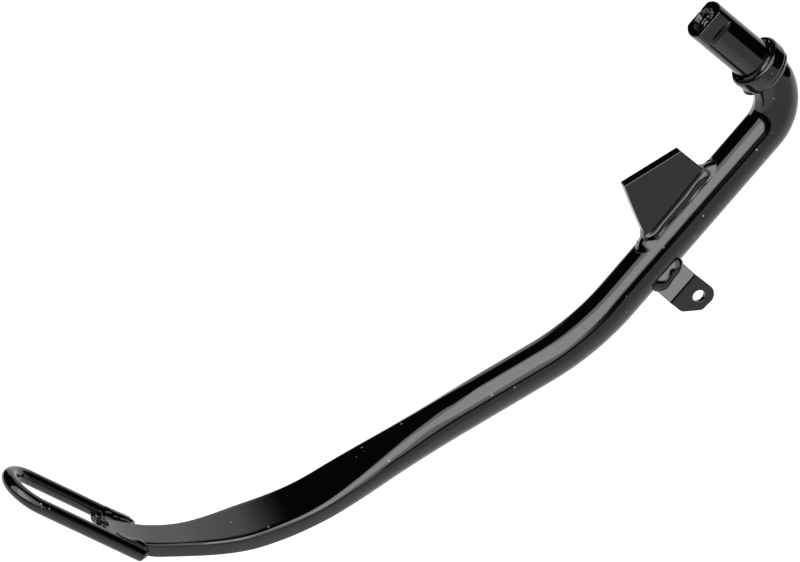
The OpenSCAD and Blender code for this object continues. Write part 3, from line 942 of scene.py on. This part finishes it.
make_leg_bar(coat)
make_pivot_shaft(shaft_coat)
make_thrust_collar(shaft_coat)
make_collar_weld(weld_coat)
make_collar_tack(weld_coat)
make_stop_plate(coat)
make_stop_welds(weld_coat)
make_spring_tab(coat)
tab_bead(1, "tab_bead_front", "spring_tab_front_weld", weld_coat)
tab_bead(-1, "tab_bead_rear", "spring_tab_rear_weld", weld_coat)
make_toe_loop(coat)
rail_bead(1, "toe_loop_bead_near", "toe_loop_near_weld", weld_coat)
rail_bead(-1, "toe_loop_bead_far", "toe_loop_far_weld", weld_coat)
make_tip_weld(weld_coat)

# ---------- camera, floor and light ----------

CAMERA_LENS = 140.07
CAMERA_PLACE = (-0.51498, -1.09992, 0.49519)
CAMERA_AZIMUTH, CAMERA_ELEVATION = -18.12, 26.39
STUDIO_WHITE = (0.97, 1, 0.985, 1)
# Half the floor's width, and how far it lies below the object, in metres
FLOOR_HALF = 12.0
FLOOR_DROP = 0.22
# The floor's glow rises smoothly from the first to the second strength between these places along Y
GLOW_FROM, GLOW_TO = -0.7, -0.25
GLOW_FRONT, GLOW_BACK = 0.45, 0.85
# Strength of the dark parts of the studio
AMBIENT = 0.003


def back_from(azimuth, elevation):
    """Unit vector from the object toward a camera at that azimuth and elevation in degrees."""
    a, e = math.radians(azimuth), math.radians(elevation)
    return Vector((math.sin(a) * math.cos(e), -math.cos(a) * math.cos(e), math.sin(e)))


def make_camera():
    data = bpy.data.cameras.new("camera")
    data.lens = CAMERA_LENS
    data.sensor_width = 36
    data.clip_start, data.clip_end = 0.05, 50
    camera = bpy.data.objects.new("camera", data)
    camera.location = CAMERA_PLACE
    camera.rotation_mode = "QUATERNION"
    camera.rotation_quaternion = (-back_from(CAMERA_AZIMUTH, CAMERA_ELEVATION)).to_track_quat("-Z", "Y")
    bpy.context.scene.collection.objects.link(camera)
    bpy.context.scene.camera = camera


def make_floor():
    """A plain white floor well below the object, with a glow that keeps it even, dimmer in front."""
    data = bpy.data.meshes.new("floor")
    half, z = FLOOR_HALF, cad_box[0].z - FLOOR_DROP
    corners = [(-half, -half, z), (half, -half, z), (half, half, z), (-half, half, z)]
    data.from_pydata(corners, [], [(0, 1, 2, 3)])
    floor = bpy.data.objects.new("floor", data)
    bpy.context.scene.collection.objects.link(floor)
    material = bpy.data.materials.new("floor")
    material.use_nodes = True
    nodes, links = material.node_tree.nodes, material.node_tree.links
    shader = nodes["Principled BSDF"]
    shader.inputs["Base Color"].default_value = (0.25, 0.25, 0.25, 1)
    shader.inputs["Roughness"].default_value = 0.9
    shader.inputs["Specular IOR Level"].default_value = 0.0
    shader.inputs["Emission Color"].default_value = STUDIO_WHITE
    coords = nodes.new("ShaderNodeTexCoord")
    parts = nodes.new("ShaderNodeSeparateXYZ")
    glow = nodes.new("ShaderNodeMapRange")
    glow.interpolation_type = "SMOOTHSTEP"
    glow.inputs["From Min"].default_value = GLOW_FROM
    glow.inputs["From Max"].default_value = GLOW_TO
    glow.inputs["To Min"].default_value = GLOW_FRONT
    glow.inputs["To Max"].default_value = GLOW_BACK
    links.new(coords.outputs["Object"], parts.inputs["Vector"])
    links.new(parts.outputs["Y"], glow.inputs["Value"])
    links.new(glow.outputs["Result"], shader.inputs["Emission Strength"])
    data.materials.append(material)


# Soft light panels as (middle azimuth, half width, lowest, highest, edge softness, strength), with
# angles in degrees. Azimuth 0 is toward +Y, behind the object, and 90 is toward +X.
PANELS = [
    (-127, 46, 17, 82, 3.0, 3.0),
    (-142, 28, 17, 82, 5.0, 2.7),
    (165, 26, 8, 82, 4.0, 2.6),
    (34, 34, -30, 36, 5.0, 1.0),
    (46, 26, 30, 66, 6.0, 0.8),
]


def make_world():
    """Dark studio with soft light panels; pale where the camera looks straight at it."""
    world = bpy.data.worlds.new("studio")
    bpy.context.scene.world = world
    world.use_nodes = True
    nodes, links = world.node_tree.nodes, world.node_tree.links
    coords = nodes.new("ShaderNodeTexCoord")

    def put(value, socket):
        if isinstance(value, (int, float)):
            socket.default_value = value
        else:
            links.new(value, socket)

    def work(operation, *values):
        node = nodes.new("ShaderNodeMath")
        node.operation = operation
        for value, socket in zip(values, node.inputs):
            put(value, socket)
        return node.outputs["Value"]

    def dot(vector):
        node = nodes.new("ShaderNodeVectorMath")
        node.operation = "DOT_PRODUCT"
        links.new(coords.outputs["Generated"], node.inputs[0])
        node.inputs[1].default_value = vector
        return node.outputs["Value"]

    def soft_step(value, edge, soft):
        node = nodes.new("ShaderNodeMapRange")
        node.interpolation_type = "SMOOTHSTEP"
        put(value, node.inputs["Value"])
        node.inputs["From Min"].default_value = math.radians(edge - soft)
        node.inputs["From Max"].default_value = math.radians(edge + soft)
        return node.outputs["Result"]

    rise = work("ARCSINE", dot((0, 0, 1)))
    total = AMBIENT
    for middle, half, low, high, soft, strength in PANELS:
        a = math.radians(middle)
        swing = work("ARCTAN2", dot((math.cos(a), -math.sin(a), 0)), dot((math.sin(a), math.cos(a), 0)))
        inside = work("SUBTRACT", 1.0, soft_step(work("ABSOLUTE", swing), half, soft))
        above = soft_step(rise, low, soft)
        below = work("SUBTRACT", 1.0, soft_step(rise, high, soft))
        panel = work("MULTIPLY", work("MULTIPLY", inside, above), below)
        total = work("MULTIPLY_ADD", panel, strength, total)

    path = nodes.new("ShaderNodeLightPath")
    seen = nodes.new("ShaderNodeMix")
    seen.data_type = "FLOAT"
    links.new(path.outputs["Is Camera Ray"], seen.inputs["Factor"])
    links.new(total, seen.inputs["A"])
    seen.inputs["B"].default_value = 1.0
    links.new(seen.outputs["Result"], nodes["Background"].inputs["Strength"])
    nodes["Background"].inputs["Color"].default_value = STUDIO_WHITE


make_camera()
make_floor()
make_world()
bpy.context.scene.view_settings.view_transform = "Standard"
